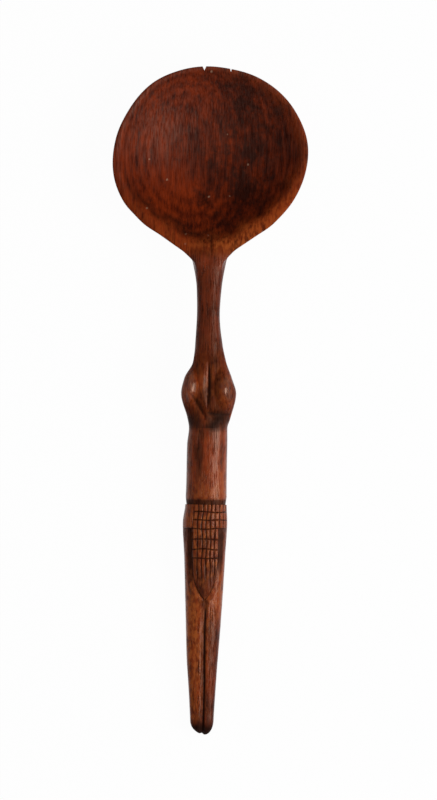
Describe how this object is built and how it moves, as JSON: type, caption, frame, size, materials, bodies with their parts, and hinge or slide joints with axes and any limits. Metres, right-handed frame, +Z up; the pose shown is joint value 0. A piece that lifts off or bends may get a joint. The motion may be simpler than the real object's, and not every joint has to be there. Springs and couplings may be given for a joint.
{
  "type": "carved wooden spoon",
  "caption": "Hand-carved hardwood serving spoon: broad shallow round bowl with a lip at the neck, on a handle carved as a standing figure with a scored apron and legs side by side.",
  "frame": {"origin": "on the surface that the spoon lies on, under the middle of its length and width", "axes": "+Y along the spoon from the feet of the handle to the tip of the bowl, +Z up out of the hollow of the bowl, +X to the right"},
  "size_m": [0.087, 0.3, 0.0249],
  "materials": {
    "oiled_hardwood": "dark reddish-brown hardwood, knife and gouge finished, oiled and rubbed to a satin sheen by handling"
  },
  "bodies": {
    "root": {"bowl": "oiled_hardwood", "neck": "oiled_hardwood", "bust": "oiled_hardwood", "torso": "oiled_hardwood", "apron": "oiled_hardwood", "legs": "oiled_hardwood"}
  },
  "joints": []
}
